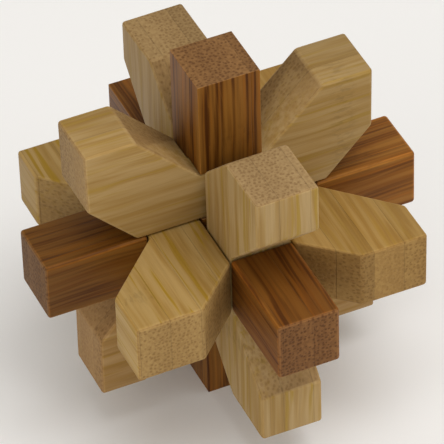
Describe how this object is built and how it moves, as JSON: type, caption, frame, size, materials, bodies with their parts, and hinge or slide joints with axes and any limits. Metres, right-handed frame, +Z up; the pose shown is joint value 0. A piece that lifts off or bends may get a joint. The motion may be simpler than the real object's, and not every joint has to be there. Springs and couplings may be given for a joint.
{
  "type": "wooden burr puzzle",
  "caption": "Star-shaped burr puzzle of dark square bars crossing at the centre, with light bow-shaped pieces locked around their ends.",
  "frame": {"origin": "middle of the lower end face of the upright bar, which the puzzle stands on", "axes": "+Z up along the upright bar, X along the cross bar, -Y towards the key cap"},
  "size_m": [0.091, 0.093, 0.091],
  "materials": {
    "light_bamboo": "natural laminated bamboo, lightly waxed, satin",
    "dark_bamboo": "carbonised laminated bamboo, caramel brown, satin"
  },
  "bodies": {
    "core": {"upright_bar": "dark_bamboo"},
    "lower_bow": {"bottom_bow": "light_bamboo"},
    "upper_bow": {"top_bow": "light_bamboo"},
    "cross_group": {"cross_bar": "dark_bamboo", "left_bow": "light_bamboo", "right_bow": "light_bamboo"},
    "lock_bow": {"front_bow": "light_bamboo"},
    "key": {"key_cap": "dark_bamboo"},
    "rear_group": {"tenon_bar": "dark_bamboo", "back_bow": "light_bamboo"}
  },
  "joints": [
    {"name": "bottom_bow_slide", "type": "slide", "parent": "core", "child": "lower_bow", "axis": [0, -1, 0], "range_m": [0, 0.03]},
    {"name": "top_bow_slide", "type": "slide", "parent": "lower_bow", "child": "upper_bow", "axis": [0, -1, 0], "range_m": [0, 0.03]},
    {"name": "cross_bar_slide", "type": "slide", "parent": "upper_bow", "child": "cross_group", "axis": [0, -1, 0], "range_m": [0, 0.03]},
    {"name": "front_bow_slide", "type": "slide", "parent": "cross_group", "child": "lock_bow", "axis": [0, -1, 0], "range_m": [-0.002, 0.028]},
    {"name": "key_cap_pull", "type": "slide", "parent": "lock_bow", "child": "key", "axis": [0, -1, 0], "range_m": [0, 0.03]},
    {"name": "tenon_bar_pull", "type": "slide", "parent": "core", "child": "rear_group", "axis": [0, 1, 0], "range_m": [0, 0.045]}
  ]
}
